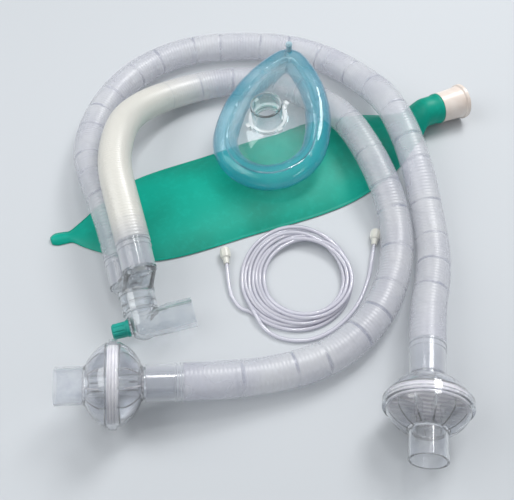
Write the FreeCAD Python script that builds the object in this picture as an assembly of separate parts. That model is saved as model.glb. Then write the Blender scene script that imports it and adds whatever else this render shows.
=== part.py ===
import FreeCAD, Part
import math
import os

# Adult anaesthesia breathing circuit laid out as a kit: two expandable 22 mm hoses, a parallel wye with a
# swivel elbow, two breathing filters, a rebreathing bag, a cushioned face mask and a gas sampling line.
# Millimetres, +Z up, floor at z = 0, origin under the middle of the kit, +Y away from the elbow and filters.

V = FreeCAD.Vector

# Conical connector sizes, drawn as straight walls at their gauge diameter
CONE_22_D = 22.0
CONE_15_D = 15.0
SOCKET_22_WALL = 1.6
CONNECTOR_WALL = 1.8
PUSH_GAP = 0.05
SWIVEL_GAP = 0.08

# Expandable corrugated hose and its moulded end cuffs
HOSE_OD = CONE_22_D + 4.0
HOSE_WALL = 1.7
CUFF_WALL = 1.3
CUFF_OD = CONE_22_D + 2 * (PUSH_GAP + CUFF_WALL)
CUFF_RING_WIDTH = 2.0
WYE_CUFF_LENGTH = 22.0
FILTER_CUFF_LENGTH = 25.0
FIRST_HOSE_RUN = 28.0

# Parallel wye
ARM_RING_D = CUFF_OD + 0.6
ARM_RING_THICK = 1.8
ARM_RING_SPACE = 3.7
ARM_SPACING = ARM_RING_D + ARM_RING_SPACE
ARM_BORE_D = CONE_22_D - 2 * CONNECTOR_WALL
ARM_LENGTH = 18.0
TRUNK_D = CONE_22_D
TRUNK_WALL = 2.2
TRUNK_BORE_D = TRUNK_D - 2 * TRUNK_WALL
TRUNK_START = 11.5
TRUNK_LENGTH = 11.5
TRUNK_RING_D = TRUNK_D + 5.0
TRUNK_RING_THICK = 2.4
WYE_BODY_LENGTH = 12.0
WYE_BODY_WALL = 2.0
WEB_THICK = 3.0
SNAP_BEAD_HEIGHT = 0.45
SNAP_BEAD_WIDTH = 2.0
SNAP_BEAD_GAP = 0.12

# Swivel elbow with its patient port and its capped gas sampling port
ELBOW_POS = V(-93.5, -80.0, 16.8)
WYE_PLAN_LEAN = 16.3
WYE_RISE = 14.0
WYE_ROLL = 65.0
ELBOW_BALL_D = CONE_22_D + 0.6
ELBOW_BALL_BORE_D = 14.0
ELBOW_SOCKET_WALL = 1.7
ELBOW_SOCKET_OD = TRUNK_D + 2 * (SWIVEL_GAP + ELBOW_SOCKET_WALL)
PATIENT_PORT_LENGTH = 37.0
PATIENT_CONE_LENGTH = 19.0
PATIENT_STALK_D = CONE_22_D - 1.0
PATIENT_SOCKET_DEPTH = 18.0
PATIENT_GASWAY_D = CONE_15_D - 1.4
PORT_RIB_COUNT = 3
SAMPLING_FLAT = 8.4
SAMPLING_NIPPLE_D = 7.6
SAMPLING_NIPPLE_LENGTH = 9.0
SAMPLING_SEAT_D = SAMPLING_NIPPLE_D + 2.8
SAMPLING_SEAT_LENGTH = 1.4
SAMPLING_BORE_D = SAMPLING_NIPPLE_D - 4.0
CAP_OD = SAMPLING_NIPPLE_D + 3.8
CAP_LENGTH = 12.6
CAP_GAP = 0.08
CAP_SEAT_GAP = 0.3
CAP_GRIP_COUNT = 10
CAP_GRIP_D = 1.6

# Breathing filters: two welded shells round a pleated disc
FILTER_D = 59.0
FILTER_FLANGE_THICK = 2.6
FILTER_WALL = 1.6
FILTER_DRUM_D = FILTER_D - 4.0
FILTER_DRUM_HEIGHT = 5.0
FILTER_DOME_R = 25.0
FILTER_DOME_INSET = 23.1
FILTER_DOME_DEPTH = 5.3
FILTER_SPIGOT_LENGTH = 23.0
FILTER_SPIGOT_BORE_D = CONE_22_D - 2 * CONNECTOR_WALL
FILTER_SOCKET_LENGTH = 19.5
FILTER_SOCKET_DEPTH = 18.0
FILTER_RIB_COUNT = 12
FILTER_RIB_THICK = 1.0
MEDIA_GAP = 0.15
MEDIA_PLEAT_PITCH = 5.4
MEDIA_PLEAT_DEPTH = 6.4
MEDIA_SHEET_THICK = 1.1
HOSE_TO_FLANGE = 46.0
EXP_FILTER_POS = V(-107.0, -131.3, 30.0)
EXP_FILTER_AXIS = V(0.985, 0.10, -0.14)
INSP_FILTER_POS = V(99.0, -146.0, 29.9)
INSP_FILTER_AXIS = V(0.15, 0.985, -0.085)

# Rebreathing bag, lying nearly empty, and its neck bushing
BAG_LENGTH = 357.0
BAG_HALF_WIDTH = 50.0
BAG_HEIGHT = 9.5
BAG_EDGE = 1.4
BAG_NECK_D = CONE_22_D + 5.0
BAG_NECK_LENGTH = 14.0
BAG_NECK_OFFSET = 1.5
BAG_NECK_BEAD = 0.8
BAG_BEAD_LENGTH = 3.0
BAG_TAIL_POS = V(-178.3, 3.3, 0.0)
BAG_TURN = 22.3
BUSHING_INSERT_D = BAG_NECK_D - 3.6
BUSHING_INSERT_LENGTH = 10.0
BUSHING_LENGTH = 25.0
BUSHING_RIM_D = BAG_NECK_D + 4.0
BUSHING_RIM_THICK = 3.0
BUSHING_GASWAY_D = CONE_22_D - 2.0
BUSHING_SOCKET_DEPTH = 18.0
BUSHING_FLOOR_GAP = 0.1
BAG_NECK_HEIGHT = BUSHING_RIM_D / 2 + BUSHING_FLOOR_GAP

# Face mask
MASK_CENTRE = V(0.5, 92.5, 16.9)
MASK_YAW = -12.0
MASK_TILT = 9.0
MASK_ROLL = -4.0
CUSHION_TUBE_R = 11.0
CHIN_R = 38.5
NOSE_R = 9.0
NOSE_OFFSET = 76.0
SIDE_R = 112.0
DOME_HEIGHT = 38.0
DOME_WALL = 1.5
MASK_PORT_OD = CONE_22_D + 2 * CONNECTOR_WALL
MASK_PORT_TOP = 56.0
MASK_PORT_Y = 1.0
HOOK_RING_THICK = 1.8
HOOK_RING_OD = MASK_PORT_OD + 5.4
HOOK_REACH = HOOK_RING_OD / 2 + 3.2
HOOK_WIDTH = 4.2
HOOK_TIP_HEIGHT = 6.0
HOOK_COUNT = 4
VALVE_STEM_D = 5.0
VALVE_STEM_LENGTH = 8.5
VALVE_BORE_D = 2.6
VALVE_PLUG_HEAD_D = 6.0
VALVE_SEAT = 3.5
VALVE_OUTWARD = 4.5
PLUG_LENGTH = 4.5
PLUG_GAP = 0.08
HOOK_RING_GAP = 0.3

# Gas sampling line
LINE_D = 3.0
LINE_FIRST_RUN = 14.0
COIL_OUTER_D = 93.0
COIL_HOLE_D = 59.0
COIL_CENTRE = V(17.2, -32.6, 0.0)
COIL_HOLE_SHIFT = 6.5
COIL_LOW_HEIGHT = 4.6
COIL_HIGH_HEIGHT = 10.0
LUER_COLLAR_D = 7.4
LUER_COLLAR_LENGTH = 8.0
LUER_CONE_D = 4.0
LUER_CONE_LENGTH = 7.4
LUER_CONE_PROUD = 1.6
LUER_SLEEVE_D = 5.2
LUER_SLEEVE_LENGTH = 6.0
LUER_BORE_D = 1.8
LUER_GRIP_COUNT = 8
LEFT_LUER_POS = V(-35.8, -20.0, 0.0)
RIGHT_LUER_POS = V(81.6, -2.0, 0.0)


# Small helpers

def unit(v):
    return V(v).normalize()


def revolved(profile):
    """A solid of revolution about Z from (radius, height) points."""
    points = [V(r, 0, z) for r, z in profile]
    face = Part.Face(Part.makePolygon(points + [points[0]]))
    return face.revolve(V(0, 0, 0), V(0, 0, 1), 360)


def rod(diameter, length, start=0.0):
    return Part.makeCylinder(diameter / 2, length, V(0, 0, start))


def placed(shape, origin, direction, side=V(0, 0, 1)):
    """Stands a shape built along Z on origin, its Z along direction and its X towards side."""
    z = unit(direction)
    x = unit(side - z * side.dot(z)) if abs(side.dot(z)) < 0.99 * side.Length else V(1, 0, 0)
    turned = FreeCAD.Rotation(x, z.cross(x), z, "ZXY")
    copy = shape.copy()
    copy.Placement = FreeCAD.Placement(origin, turned).multiply(shape.Placement)
    return copy


def fused(shapes):
    whole = shapes[0].multiFuse(shapes[1:]) if len(shapes) > 1 else shapes[0]
    return whole.removeSplitter()


def around(shape, count, start=0.0):
    """Copies of a shape, evenly spaced round Z."""
    copies = []
    for index in range(count):
        copy = shape.copy()
        copy.rotate(V(0, 0, 0), V(0, 0, 1), start + index * 360.0 / count)
        copies.append(copy)
    return copies


def save(name, shape):
    solids = shape.Solids
    if len(solids) != 1 or not shape.isValid():
        print("CHECK", name, "solids", len(solids), "valid", shape.isValid())
    whole = solids[0] if len(solids) == 1 else shape
    whole.exportStep("parts/" + name + ".step")


# Hoses: straight runs joined by tangent arcs

def route_wire(points):
    """The route as straight runs and tangent arcs, with the tightest arc's radius."""
    edges = []
    here = points[0]
    tightest = 1e9
    for before, corner, after in zip(points, points[1:], points[2:]):
        to_corner = corner - before
        from_corner = after - corner
        half_turn = to_corner.getAngle(from_corner) / 2
        reach = 0.45 * min(to_corner.Length, from_corner.Length)
        radius = reach / math.tan(half_turn)
        tightest = min(tightest, radius)
        start = corner - unit(to_corner) * reach
        end = corner + unit(from_corner) * reach
        inward = unit(unit(from_corner) - unit(to_corner))
        middle = corner + inward * (radius / math.cos(half_turn) - radius)
        edges.append(Part.LineSegment(here, start).toShape())
        edges.append(Part.Arc(start, middle, end).toShape())
        here = end
    edges.append(Part.LineSegment(here, points[-1]).toShape())
    return Part.Wire(edges), tightest


def tube(name, points, outer_d, inner_d=0.0):
    """A plain round tube along a route, checked by its volume."""
    wire, tightest = route_wire(points)
    start_direction = points[1] - points[0]

    def swept(diameter):
        ring = Part.Wire(Part.makeCircle(diameter / 2, points[0], start_direction))
        return wire.makePipeShell([ring], True, False)

    solid = swept(outer_d)
    area = math.pi * outer_d ** 2 / 4
    if inner_d:
        solid = solid.cut(swept(inner_d))
        area -= math.pi * inner_d ** 2 / 4
    print("tube %s: length %.0f, smallest radius %.0f, volume over section times length %.4f" % (
        name, wire.Length, tightest, solid.Volume / (area * wire.Length)))
    return solid


def hose_cuff(length):
    """Moulded hose end: a plain sleeve, its mouth at z = 0, with a ring each side of the step to the hose."""
    outer, inner, hose = CUFF_OD / 2, CONE_22_D / 2 + PUSH_GAP, HOSE_OD / 2
    ring_low = length - 3 * CUFF_RING_WIDTH
    return revolved([
        (inner, 0), (outer - 0.3, 0), (outer, 0.5), (outer, ring_low), (outer + 0.5, ring_low + 0.4),
        (outer + 0.5, ring_low + CUFF_RING_WIDTH - 0.4), (outer, ring_low + CUFF_RING_WIDTH),
        (outer, length - CUFF_RING_WIDTH), (hose, length - CUFF_RING_WIDTH + 0.5), (hose, length), (inner, length)])


# Directions of the wye: its axis rises from the elbow, and its arms lie almost one above the other

lean, rise, roll = (math.radians(a) for a in (WYE_PLAN_LEAN, WYE_RISE, WYE_ROLL))
WYE_AXIS = V(-math.sin(lean) * math.cos(rise), math.cos(lean) * math.cos(rise), math.sin(rise))
PORT_AXIS = V(math.cos(lean), math.sin(lean), 0)
ARM_SIDE = PORT_AXIS * math.cos(roll) + WYE_AXIS.cross(PORT_AXIS) * -math.sin(roll)

TRUNK_END = TRUNK_START + TRUNK_LENGTH
ARM_START = TRUNK_END + WYE_BODY_LENGTH
CUFF_START = ARM_START + ARM_RING_THICK
CUFF_END = CUFF_START + WYE_CUFF_LENGTH


def arm_point(sign, along):
    return ELBOW_POS + WYE_AXIS * along + ARM_SIDE * (sign * ARM_SPACING / 2)


def stadium(radius, half_spacing, height):
    """Two half circles, half_spacing each side of the middle, joined by straight sides."""
    low_left, low_right = V(-half_spacing, -radius, height), V(half_spacing, -radius, height)
    high_left, high_right = V(-half_spacing, radius, height), V(half_spacing, radius, height)
    return Part.Wire([
        Part.LineSegment(low_left, low_right).toShape(),
        Part.Arc(low_right, V(half_spacing + radius, 0, height), high_right).toShape(),
        Part.LineSegment(high_right, high_left).toShape(),
        Part.Arc(high_left, V(-half_spacing - radius, 0, height), low_left).toShape()])


def wye_body():
    """Trunk with its snap bead and stop ring, a flaring body, and two parallel arms with stop rings."""
    bead_mid = TRUNK_START + 4.5
    trunk = rod(TRUNK_D, TRUNK_LENGTH + 1, TRUNK_START)
    bead = revolved([
        (TRUNK_D / 2 - 1, bead_mid - SNAP_BEAD_WIDTH / 2), (TRUNK_D / 2, bead_mid - SNAP_BEAD_WIDTH / 2),
        (TRUNK_D / 2 + SNAP_BEAD_HEIGHT, bead_mid), (TRUNK_D / 2, bead_mid + SNAP_BEAD_WIDTH / 2),
        (TRUNK_D / 2 - 1, bead_mid + SNAP_BEAD_WIDTH / 2)])
    ring = rod(TRUNK_RING_D, TRUNK_RING_THICK, TRUNK_END)
    body = Part.makeLoft([stadium(TRUNK_D / 2 + 1, 0.4, TRUNK_END + 1),
                          stadium(CONE_22_D / 2 + 1, ARM_SPACING / 2, ARM_START)], True)
    chamber = Part.makeLoft([stadium(TRUNK_BORE_D / 2, 0.4, TRUNK_END),
                             stadium(ARM_BORE_D / 2, ARM_SPACING / 2, ARM_START - WYE_BODY_WALL)], True)
    outside = [trunk, bead, ring, body]
    inside = [rod(TRUNK_BORE_D, TRUNK_LENGTH + 2, TRUNK_START - 1), chamber]
    for sign in (-1, 1):
        foot = V(sign * ARM_SPACING / 2, 0, ARM_START)
        outside.append(Part.makeCylinder(ARM_RING_D / 2, ARM_RING_THICK, foot))
        outside.append(Part.makeCylinder(CONE_22_D / 2, ARM_LENGTH, foot))
        bore_start = foot - V(0, 0, WYE_BODY_WALL + 1)
        inside.append(Part.makeCylinder(ARM_BORE_D / 2, ARM_LENGTH + WYE_BODY_WALL + 2, bore_start))
    outside.append(Part.makeBox(ARM_SPACING, WEB_THICK, ARM_RING_THICK, V(-ARM_SPACING / 2, -WEB_THICK / 2, ARM_START)))
    solid = fused(outside).cut(fused(inside))
    return placed(solid, ELBOW_POS, WYE_AXIS, ARM_SIDE)


def patient_elbow():
    """Ball-cornered elbow: swivel socket along Z, patient port along X, sampling port on a flat along -X."""
    socket_end = TRUNK_END - 0.5
    cone_start = PATIENT_PORT_LENGTH - PATIENT_CONE_LENGTH
    seat_end = SAMPLING_FLAT + SAMPLING_SEAT_LENGTH
    x_axis = V(1, 0, 0)
    flat = Part.makeBox(ELBOW_BALL_D, ELBOW_BALL_D, ELBOW_BALL_D,
                        V(-SAMPLING_FLAT - ELBOW_BALL_D, -ELBOW_BALL_D / 2, SAMPLING_SEAT_D / 2 + 1.0 - ELBOW_BALL_D))
    outer = [
        fused([Part.makeSphere(ELBOW_BALL_D / 2), rod(ELBOW_BALL_D, TRUNK_START)]).cut(flat),
        rod(ELBOW_SOCKET_OD, socket_end - TRUNK_START + 2.5, TRUNK_START - 2.5),
        Part.makeCylinder(PATIENT_STALK_D / 2, cone_start, V(0, 0, 0), x_axis),
        Part.makeCylinder(CONE_22_D / 2, PATIENT_CONE_LENGTH, V(cone_start, 0, 0), x_axis),
        Part.makeCylinder(SAMPLING_SEAT_D / 2, seat_end, V(0, 0, 0), V(-1, 0, 0)),
        Part.makeCylinder(SAMPLING_NIPPLE_D / 2, seat_end + SAMPLING_NIPPLE_LENGTH, V(0, 0, 0), V(-1, 0, 0)),
    ]
    bead_mid = TRUNK_START + 4.5
    clear_r = TRUNK_D / 2 + SWIVEL_GAP
    groove_r = clear_r + SNAP_BEAD_HEIGHT + SNAP_BEAD_GAP
    half = SNAP_BEAD_WIDTH / 2 + SNAP_BEAD_GAP
    socket_bore = revolved([
        (0, TRUNK_START - 0.4), (clear_r, TRUNK_START - 0.4), (clear_r, bead_mid - half), (groove_r, bead_mid - 0.3),
        (groove_r, bead_mid + 0.3), (clear_r, bead_mid + half), (clear_r, socket_end + 1), (0, socket_end + 1)])
    inner = [
        Part.makeSphere(ELBOW_BALL_BORE_D / 2),
        rod(ELBOW_BALL_BORE_D, TRUNK_START),
        socket_bore,
        Part.makeCylinder(PATIENT_GASWAY_D / 2, PATIENT_PORT_LENGTH, V(0, 0, 0), x_axis),
        Part.makeCylinder(CONE_15_D / 2, PATIENT_SOCKET_DEPTH + 1, V(PATIENT_PORT_LENGTH - PATIENT_SOCKET_DEPTH, 0, 0), x_axis),
        Part.makeCylinder(SAMPLING_BORE_D / 2, ELBOW_BALL_D + SAMPLING_NIPPLE_LENGTH, V(0, 0, 0), V(-1, 0, 0)),
    ]
    rib_start = ELBOW_BALL_D / 2 - 1.5
    rib = Part.makeBox(cone_start - rib_start, 1.2, 1.1, V(rib_start, -0.6, PATIENT_STALK_D / 2 - 0.6))
    for index in range(PORT_RIB_COUNT):
        copy = rib.copy()
        copy.rotate(V(0, 0, 0), x_axis, 60 + index * 60)
        outer.append(copy)
    solid = fused(outer).cut(fused(inner))
    return placed(solid, ELBOW_POS, WYE_AXIS, PORT_AXIS)


def sampling_port_cap():
    """Pull-off cap: a blind cup with grip flutes, over the sampling nipple."""
    start = SAMPLING_FLAT + SAMPLING_SEAT_LENGTH + CAP_SEAT_GAP
    blind = SAMPLING_NIPPLE_LENGTH - CAP_SEAT_GAP + 0.6
    radius = CAP_OD / 2
    cup = revolved([
        (SAMPLING_NIPPLE_D / 2 + CAP_GAP, 0), (radius + 0.5, 0), (radius + 0.5, 2.0), (radius, 2.4),
        (radius - 0.1, CAP_LENGTH - 1.2), (radius - 1.2, CAP_LENGTH), (0, CAP_LENGTH), (0, blind),
        (SAMPLING_NIPPLE_D / 2 + CAP_GAP, blind)])
    flute = Part.makeCylinder(CAP_GRIP_D / 2, CAP_LENGTH, V(radius + 0.25, 0, 3.4))
    cap = cup.cut(fused(around(flute, CAP_GRIP_COUNT)))
    return placed(cap, ELBOW_POS - PORT_AXIS * start, PORT_AXIS * -1)


# Breathing filters, built along Z with the flange's mid plane at z = 0

def dome_height(reach, inset=0.0):
    """Height of the shell's domed shoulder, or of a surface inside it, at a distance from the axis."""
    across = reach - (FILTER_DRUM_D / 2 - FILTER_DOME_INSET)
    return math.sqrt((FILTER_DOME_R - inset) ** 2 - across ** 2) - FILTER_DOME_DEPTH


def dome_edge(from_r, to_r, inset=0.0):
    """The dome's arc in the XZ plane between two distances from the axis."""
    spots = [V(r, 0, dome_height(r, inset)) for r in (from_r, (from_r + to_r) / 2, to_r)]
    return Part.Arc(*spots).toShape()


def outline_face(points, arc):
    """A flat face bounded by straight lines through the points and by an arc that closes them."""
    lines = [Part.LineSegment(a, b).toShape() for a, b in zip(points, points[1:])]
    return Part.Face(Part.Wire([arc] + lines))


def filter_shell(is_hose_side):
    """One moulded shell: flange, drum, domed shoulder, and a spigot or a socket, with radial ribs inside."""
    flange, drum, gasway = FILTER_D / 2, FILTER_DRUM_D / 2, FILTER_SPIGOT_BORE_D / 2
    chamber = drum - FILTER_WALL
    neck = CONE_22_D / 2 if is_hose_side else CONE_22_D / 2 + SOCKET_22_WALL
    foot, lip = neck + 1.5, dome_height(neck + 1.5)
    end = lip + (FILTER_SPIGOT_LENGTH if is_hose_side else FILTER_SOCKET_LENGTH)
    if is_hose_side:
        tail = [(neck, end - 0.6), (neck - 0.6, end), (gasway, end), (gasway, lip - 2.0)]
    else:
        mouth, shelf = CONE_22_D / 2, end - FILTER_SOCKET_DEPTH
        tail = [(neck, end), (mouth, end), (mouth, shelf), (gasway, shelf - 1.5), (gasway, lip - 2.0)]
    rise = FILTER_DRUM_HEIGHT
    outside = [(gasway, 0), (flange, 0), (flange, FILTER_FLANGE_THICK), (drum, FILTER_FLANGE_THICK), (drum, rise)]
    shoulder_r = drum - 0.3
    points = [V(r, 0, z) for r, z in [(foot, lip), (neck, lip + 1.4)] + tail + outside + [
        (shoulder_r, dome_height(shoulder_r))]]
    shell = outline_face(points, dome_edge(shoulder_r, foot)).revolve(V(0, 0, 0), V(0, 0, 1), 360)
    inner_r = chamber - 0.3
    hollow = [(gasway, dome_height(gasway + 1.0, FILTER_WALL)), (0, dome_height(gasway + 1.0, FILTER_WALL)), (0, -1),
              (chamber, -1), (chamber, dome_height(inner_r, FILTER_WALL) - 0.4), (inner_r, dome_height(inner_r, FILTER_WALL))]
    points = [V(gasway + 1.0, 0, dome_height(gasway + 1.0, FILTER_WALL))] + [V(r, 0, z) for r, z in hollow]
    cavity = outline_face(points, dome_edge(inner_r, gasway + 1.0, FILTER_WALL)).revolve(V(0, 0, 0), V(0, 0, 1), 360)
    rib_inner, rib_outer = gasway + 2.0, chamber - 2.0
    base = MEDIA_PLEAT_DEPTH / 2 + MEDIA_GAP
    middle = FILTER_WALL / 2
    points = [V(r, 0, z) for r, z in (
        (rib_inner, dome_height(rib_inner, middle)), (rib_inner, base), (rib_outer, base),
        (rib_outer, dome_height(rib_outer, middle)))]
    rib = outline_face(points, dome_edge(rib_outer, rib_inner, middle)).extrude(V(0, FILTER_RIB_THICK, 0))
    rib.translate(V(0, -FILTER_RIB_THICK / 2, 0))
    return fused([shell.cut(cavity)] + around(rib, FILTER_RIB_COUNT))


def filter_media():
    """A pleated sheet cut round, with its rim held between the two shells."""
    radius = FILTER_DRUM_D / 2 - FILTER_WALL - MEDIA_GAP
    folds = int(2 * radius / MEDIA_PLEAT_PITCH) + 2
    half_depth = MEDIA_PLEAT_DEPTH / 2 - MEDIA_SHEET_THICK / 2
    start = -folds * MEDIA_PLEAT_PITCH / 2
    ridge = []
    for index in range(2 * folds + 1):
        height = half_depth if index % 2 else -half_depth
        ridge.append((start + index * MEDIA_PLEAT_PITCH / 2, height))
    upper = [V(x, 0, z + MEDIA_SHEET_THICK / 2) for x, z in ridge]
    lower = [V(x, 0, z - MEDIA_SHEET_THICK / 2) for x, z in reversed(ridge)]
    outline = upper + lower
    sheet = Part.Face(Part.makePolygon(outline + [outline[0]])).extrude(V(0, 2 * radius + 4, 0))
    sheet.translate(V(0, -radius - 2, 0))
    rim = rod(2 * radius, MEDIA_PLEAT_DEPTH, -MEDIA_PLEAT_DEPTH / 2).cut(
        rod(2 * radius - 3.0, MEDIA_PLEAT_DEPTH + 2, -MEDIA_PLEAT_DEPTH / 2 - 1))
    return fused([sheet.common(rod(2 * radius - 1.0, 40, -20)), rim])


def filter_pieces(prefix, centre, towards_hose):
    axis = unit(towards_hose)
    save(prefix + "_filter_hose_shell", placed(filter_shell(True), centre, axis))
    save(prefix + "_filter_port_shell", placed(filter_shell(False), centre, axis * -1))
    save(prefix + "_filter_media", placed(filter_media(), centre, axis))
    cuff_mouth = centre + axis * (HOSE_TO_FLANGE - FILTER_CUFF_LENGTH)
    save(prefix + "_filter_cuff", placed(hose_cuff(FILTER_CUFF_LENGTH), cuff_mouth, axis))


# Rebreathing bag: share of length, offset of the middle, share of half width, share of height

BAG_STATIONS = [
    (0.000, -1.5, 0.085, 0.50), (0.035, -4.0, 0.150, 0.42), (0.090, -7.0, 0.420, 0.42),
    (0.220, -10.0, 0.880, 0.60), (0.420, -11.3, 0.945, 1.00), (0.660, -10.5, 0.990, 1.00),
    (0.815, -4.5, 0.760, 1.20), (0.915, 0.6, 0.390, 1.85)]


def bag_section(x, middle, half, height, edge):
    """A flat underside, thin edges and an arched top, across the bag's length."""
    left, right = V(x, middle - half, 0), V(x, middle + half, 0)
    left_top, right_top = V(x, middle - half, edge), V(x, middle + half, edge)
    crown = V(x, middle, height)
    return Part.Wire([
        Part.LineSegment(left, right).toShape(), Part.LineSegment(right, right_top).toShape(),
        Part.Arc(right_top, crown, left_top).toShape(), Part.LineSegment(left_top, left).toShape()])


def neck_section(x, middle, radius, height):
    """The same four edges as bag_section, bent into a circle round the neck's axis."""
    angles = [-140, -90, -40, -28, -15, 90, 195, 208]
    spots = [V(x, middle + radius * math.cos(math.radians(a)), height + radius * math.sin(math.radians(a)))
             for a in angles]
    return Part.Wire([Part.Arc(spots[i], spots[i + 1], spots[(i + 2) % 8]).toShape() for i in (0, 2, 4, 6)])


def bag():
    """Flat dipped bag: a loft over the stations, a straight-sided shoulder and the round neck."""
    sections = []
    for share, middle, half_share, height_share in BAG_STATIONS:
        height = BAG_HEIGHT * height_share
        half = BAG_HALF_WIDTH * half_share
        sections.append(bag_section(BAG_LENGTH * share, middle, half, height, min(BAG_EDGE, height * 0.4)))
    neck_start = BAG_LENGTH - BAG_NECK_LENGTH
    neck_r = BAG_NECK_D / 2 - BAG_NECK_BEAD
    shoulder = [sections[-1], neck_section(neck_start, BAG_NECK_OFFSET, neck_r, BAG_NECK_HEIGHT)]
    neck = Part.makeCylinder(neck_r, BAG_NECK_LENGTH, V(neck_start, BAG_NECK_OFFSET, BAG_NECK_HEIGHT), V(1, 0, 0))
    bead = Part.makeCylinder(BAG_NECK_D / 2, BAG_BEAD_LENGTH,
                             V(BAG_LENGTH - BAG_BEAD_LENGTH, BAG_NECK_OFFSET, BAG_NECK_HEIGHT), V(1, 0, 0))
    socket = Part.makeCylinder(BUSHING_INSERT_D / 2, BUSHING_INSERT_LENGTH,
                               V(BAG_LENGTH - BUSHING_INSERT_LENGTH, BAG_NECK_OFFSET, BAG_NECK_HEIGHT), V(1, 0, 0))
    whole = fused([Part.makeLoft(sections, True, False), Part.makeLoft(shoulder, True, True), neck, bead])
    return bag_frame(whole.cut(socket))


def bag_frame(shape):
    copy = shape.copy()
    copy.rotate(V(0, 0, 0), V(0, 0, 1), BAG_TURN)
    copy.translate(BAG_TAIL_POS)
    return copy


def bag_bushing():
    """Rigid 22 mm bushing: a sleeve plugged into the bag's neck, flared to a rim at its mouth."""
    insert, neck, rim = BUSHING_INSERT_D / 2, BAG_NECK_D / 2, BUSHING_RIM_D / 2
    mouth = CONE_22_D / 2
    shelf = BUSHING_LENGTH - BUSHING_SOCKET_DEPTH
    bushing = revolved([
        (BUSHING_GASWAY_D / 2, -BUSHING_INSERT_LENGTH), (insert, -BUSHING_INSERT_LENGTH), (insert, 0), (neck, 0),
        (neck, BUSHING_LENGTH * 0.3), (rim - 1.2, BUSHING_LENGTH - BUSHING_RIM_THICK - 1.0),
        (rim, BUSHING_LENGTH - BUSHING_RIM_THICK), (rim, BUSHING_LENGTH - 0.6), (rim - 0.6, BUSHING_LENGTH),
        (mouth, BUSHING_LENGTH), (mouth, shelf), (BUSHING_GASWAY_D / 2, shelf - 1.0)])
    return bag_frame(placed(bushing, V(BAG_LENGTH, BAG_NECK_OFFSET, BAG_NECK_HEIGHT), V(1, 0, 0)))


# Gas sampling line

def sampling_coil():
    """The envelope of the loose coil: wide and low where the turns fan out, narrow and high where they bunch."""
    ring = rod(COIL_OUTER_D, COIL_HIGH_HEIGHT).cut(
        Part.makeCylinder(COIL_HOLE_D / 2, COIL_HIGH_HEIGHT + 2, V(COIL_HOLE_SHIFT, 0, -1)))
    reach = COIL_OUTER_D / 2
    wedge = Part.Face(Part.makePolygon([
        V(-reach - 1, 0, COIL_LOW_HEIGHT), V(reach + 1, 0, COIL_HIGH_HEIGHT), V(reach + 1, 0, COIL_HIGH_HEIGHT + 5),
        V(-reach - 1, 0, COIL_HIGH_HEIGHT + 5), V(-reach - 1, 0, COIL_LOW_HEIGHT)]))
    wedge = wedge.extrude(V(0, COIL_OUTER_D + 4, 0))
    wedge.translate(V(0, -reach - 2, 0))
    coil = ring.cut(wedge)
    coil.translate(COIL_CENTRE)
    return coil


def luer_lock():
    """Male luer lock with the line's sleeve at z = 0 and the fitting's cone leaving along +Z."""
    sleeve, collar, cone = LUER_SLEEVE_D / 2, LUER_COLLAR_D / 2, LUER_CONE_D / 2
    collar_end = LUER_SLEEVE_LENGTH + LUER_COLLAR_LENGTH
    body = revolved([
        (LUER_BORE_D / 2, 0), (sleeve - 0.4, 0), (sleeve, LUER_SLEEVE_LENGTH - 1), (collar, LUER_SLEEVE_LENGTH),
        (collar, collar_end), (collar - 0.9, collar_end), (collar - 0.9, collar_end - LUER_CONE_LENGTH + 1),
        (cone + 0.1, collar_end - LUER_CONE_LENGTH + 1), (cone - 0.2, collar_end + LUER_CONE_PROUD),
        (LUER_BORE_D / 2, collar_end + LUER_CONE_PROUD)])
    grip = Part.makeBox(0.9, 0.8, LUER_COLLAR_LENGTH - 2, V(collar - 0.5, -0.4, LUER_SLEEVE_LENGTH + 1))
    return fused([body] + around(grip, LUER_GRIP_COUNT))


# Face mask, built in its own frame: base plane at z = 0, nose towards +Y

def teardrop(height, chin_r, nose_r, nose_offset, side_r, centre_y=0.0):
    """A closed outline of four tangent arcs: chin, right side, nose and left side."""
    reach_chin, reach_nose = side_r - chin_r, side_r - nose_r
    rise_y = (reach_chin ** 2 - reach_nose ** 2 + nose_offset ** 2) / (2 * nose_offset)
    across = math.sqrt(reach_chin ** 2 - rise_y ** 2)
    chin_touch = V(across, -rise_y, 0) * (chin_r / reach_chin)
    to_nose = V(across, nose_offset - rise_y, 0) * (1.0 / reach_nose)
    nose_touch = V(0, nose_offset, 0) + to_nose * nose_r
    side_centre = V(-across, rise_y, 0)
    side_mid = side_centre + unit(chin_touch + nose_touch - side_centre * 2) * side_r
    lift = V(0, centre_y, height)

    def mirrored(v):
        return V(-v.x, v.y, v.z)

    return Part.Wire([
        Part.Arc(mirrored(chin_touch) + lift, V(0, -chin_r, 0) + lift, chin_touch + lift).toShape(),
        Part.Arc(chin_touch + lift, side_mid + lift, nose_touch + lift).toShape(),
        Part.Arc(nose_touch + lift, V(0, nose_offset + nose_r, 0) + lift, mirrored(nose_touch) + lift).toShape(),
        Part.Arc(mirrored(nose_touch) + lift, mirrored(side_mid) + lift, mirrored(chin_touch) + lift).toShape()])


def port_circle(radius, height):
    """A circle in four arcs, in step with the teardrop's."""
    angles = [-172, -90, -8, 30, 68, 90, 112, 150]
    spots = [V(radius * math.cos(math.radians(a)), MASK_PORT_Y + radius * math.sin(math.radians(a)), height)
             for a in angles]
    arcs = [Part.Arc(spots[i], spots[i + 1], spots[(i + 2) % 8]).toShape() for i in (0, 2, 4, 6)]
    return Part.Wire(arcs)


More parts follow.
